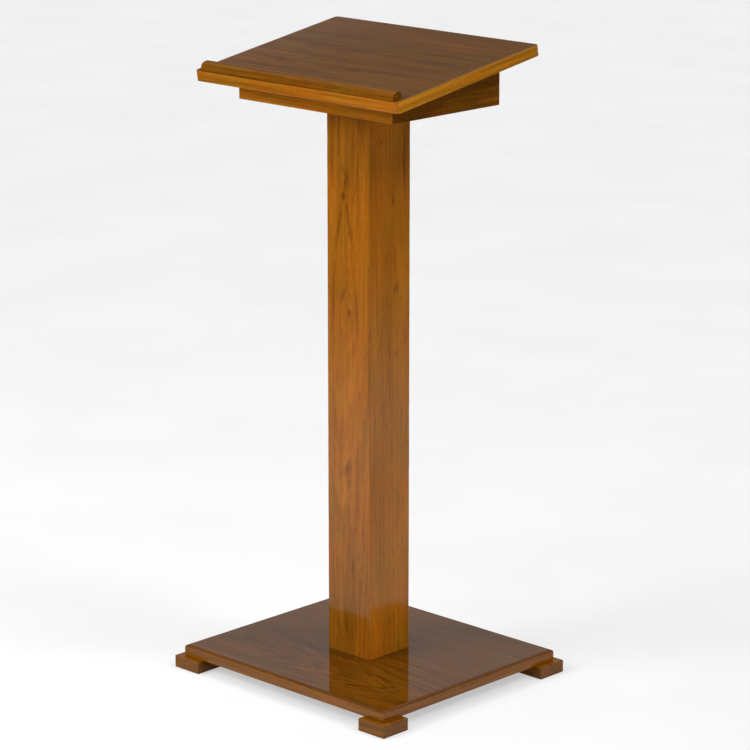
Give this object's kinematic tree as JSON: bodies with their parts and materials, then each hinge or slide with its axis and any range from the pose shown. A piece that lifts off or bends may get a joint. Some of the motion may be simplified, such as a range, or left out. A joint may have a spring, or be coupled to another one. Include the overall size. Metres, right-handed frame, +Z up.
{
  "type": "lectern",
  "caption": "Free-standing oak lectern: square box column on a flat base with block feet, and a sloped desk with a book ledge on an apron box.",
  "frame": {"origin": "on the floor under the middle of the base", "axes": "+Z up, +X to the reader's right, +Y away from the reader, towards the raised edge of the desk"},
  "size_m": [0.481, 0.43, 1.0508],
  "materials": {
    "oak": "stained solid oak under gloss varnish",
    "oak_veneer": "stained oak veneer under gloss varnish",
    "plain_wood": "unstained, unvarnished inner wood",
    "steel": "bright zinc-plated steel"
  },
  "bodies": {
    "root": {"base_panel": "oak_veneer", "base_edge_front": "oak", "base_edge_right": "oak", "base_edge_back": "oak", "base_edge_left": "oak", "foot_front_left": "oak", "foot_front_right": "oak", "foot_back_left": "oak", "foot_back_right": "oak", "column_front": "oak", "column_right": "oak", "column_back": "oak", "column_left": "oak", "column_bottom_block": "plain_wood", "column_top_block": "plain_wood", "head_plate": "oak_veneer", "apron_front": "oak", "apron_right": "oak", "apron_back": "oak", "apron_left": "oak", "corner_block_front_left": "plain_wood", "corner_block_front_right": "plain_wood", "corner_block_back_left": "plain_wood", "corner_block_back_right": "plain_wood", "cleat_left": "plain_wood", "cleat_right": "plain_wood", "desk_panel": "oak_veneer", "desk_edge_front": "oak", "desk_edge_right": "oak", "desk_edge_back": "oak", "desk_edge_left": "oak", "book_ledge": "oak", "foot_screws": "steel", "base_screws": "steel", "column_top_screws": "steel", "head_screws": "steel", "desk_screws": "steel", "ledge_screws": "steel"}
  },
  "joints": []
}
